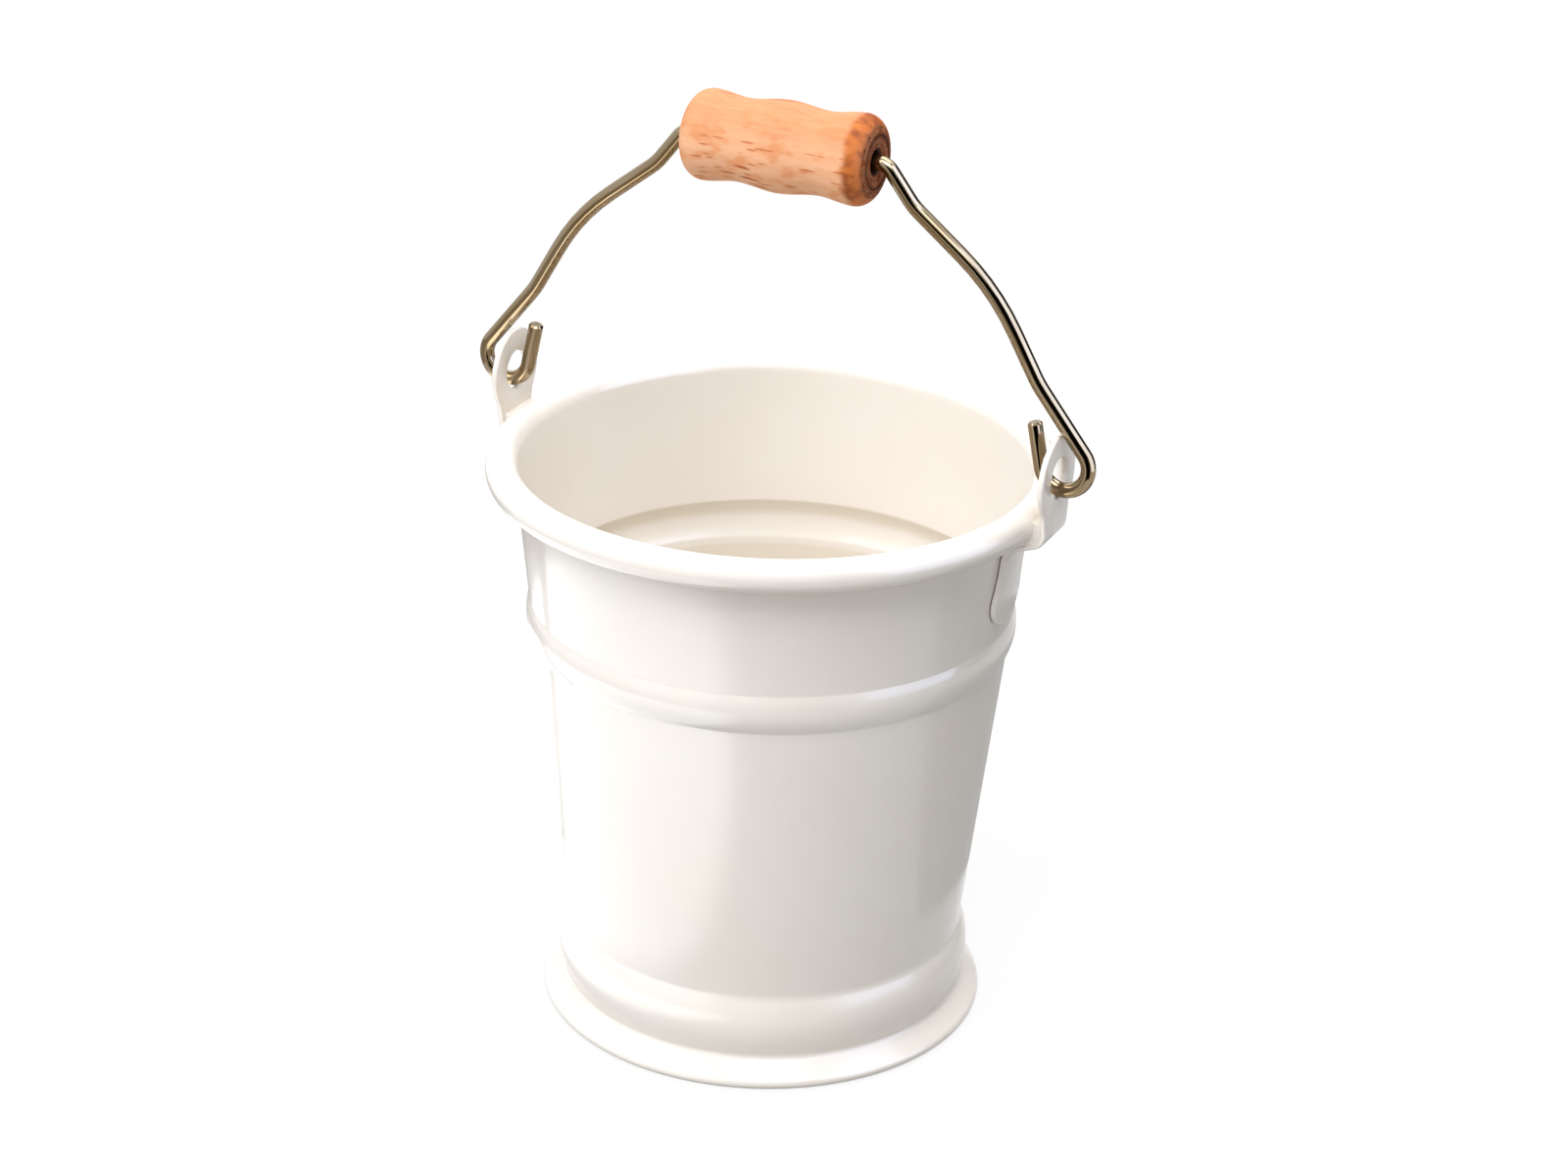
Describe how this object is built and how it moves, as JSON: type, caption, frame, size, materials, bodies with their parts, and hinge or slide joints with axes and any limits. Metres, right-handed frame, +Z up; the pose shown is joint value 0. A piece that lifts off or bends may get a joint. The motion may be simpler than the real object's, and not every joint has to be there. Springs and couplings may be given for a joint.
{
  "type": "pail",
  "caption": "Small tapered sheet-metal pail with a curled rim, a swaged bead and a flared foot, carried by a swinging wire bail with a turned wooden grip.",
  "frame": {"origin": "centre of the foot circle, on the surface that the pail stands on", "axes": "+Z up along the pail's axis, +X through the two ears along the bail's swing axis"},
  "size_m": [0.1122, 0.096, 0.1597],
  "materials": {
    "ivory_enamel": "thick glossy ivory-white coat on sheet steel",
    "bright_wire": "bright nickel-plated wire, polished",
    "beech": "turned beech, fine sanded and lightly waxed"
  },
  "bodies": {
    "pail": {"pail_body": "ivory_enamel", "bottom_pan": "ivory_enamel", "ear_left": "ivory_enamel", "ear_right": "ivory_enamel"},
    "bail": {"bail_wire": "bright_wire"},
    "grip": {"grip": "beech"}
  },
  "joints": [
    {"name": "bail_swing", "type": "hinge", "parent": "pail", "child": "bail", "pos_m": [0, 0, 0.1033], "axis": [1, 0, 0], "range_deg": [-85, 85]},
    {"name": "grip_spin", "type": "hinge", "parent": "bail", "child": "grip", "pos_m": [0, 0, 0.1522], "axis": [1, 0, 0], "continuous": true}
  ]
}
